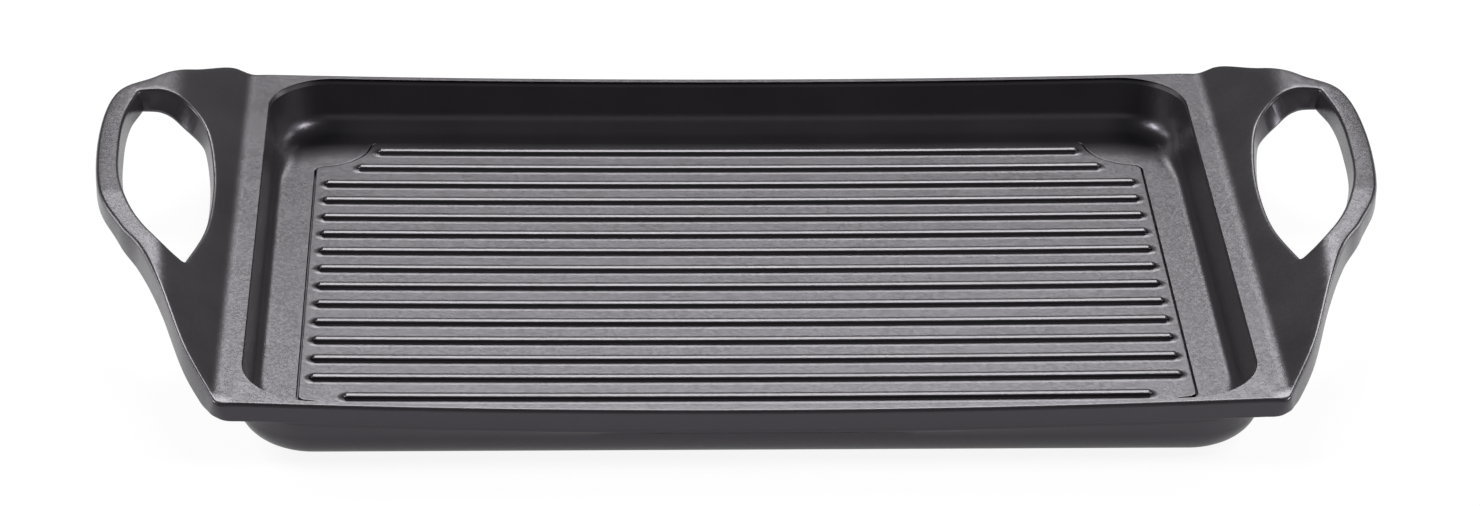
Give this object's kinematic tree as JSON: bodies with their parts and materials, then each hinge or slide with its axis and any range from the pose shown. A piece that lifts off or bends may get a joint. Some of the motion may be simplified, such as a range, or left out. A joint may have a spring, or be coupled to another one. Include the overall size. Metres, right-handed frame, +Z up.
{
  "type": "griddle plate",
  "caption": "Rectangular cast griddle tray with a raised ribbed frying field, wing handles with finger holes and a perforated steel base plate.",
  "frame": {"origin": "middle of the underside, on the surface that the griddle stands on", "axes": "+X towards the right handle, +Y towards the back rim, +Z up"},
  "size_m": [0.4682, 0.257, 0.0423],
  "materials": {
    "coated_casting": "satin dark grey non-stick coating on cast aluminium",
    "base_steel": "brushed"
  },
  "bodies": {
    "root": {"tray": "coated_casting", "left_handle": "coated_casting", "right_handle": "coated_casting", "ribbed_plate": "coated_casting", "induction_base_plate": "base_steel"}
  },
  "joints": []
}
